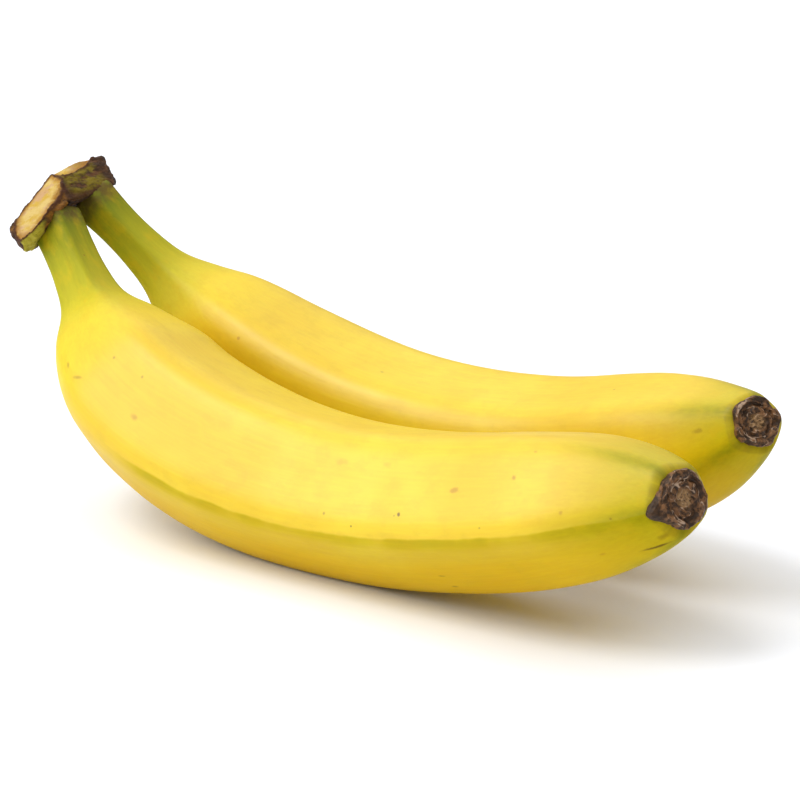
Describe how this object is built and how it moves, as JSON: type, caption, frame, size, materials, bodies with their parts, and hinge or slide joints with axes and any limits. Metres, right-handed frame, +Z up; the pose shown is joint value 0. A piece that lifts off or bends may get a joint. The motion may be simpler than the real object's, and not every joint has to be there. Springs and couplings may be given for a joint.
{
  "type": "bunch of bananas",
  "caption": "Ripe curved bananas joined at a cut crown, lying on their sides with necks raised and dried blossom ends, for a fruit bowl, kitchen or market scene.",
  "frame": {"origin": "centre of the bounding box, at the height of the surface that the bunch lies on", "axes": "+Z up, +X along the fruit from the crown to the blossom ends, -Y towards the nearer banana's outer side"},
  "size_m": [0.2073, 0.0856, 0.0722],
  "materials": {
    "peel": "smooth satin yellow peel, olive green at the necks",
    "crown": "rough, dried brown skin with tan cut faces",
    "scar": "dry, dark brown husk"
  },
  "bodies": {
    "root": {"front_banana": "peel", "back_banana": "peel", "crown": "crown", "front_scar": "scar", "back_scar": "scar"}
  },
  "joints": []
}
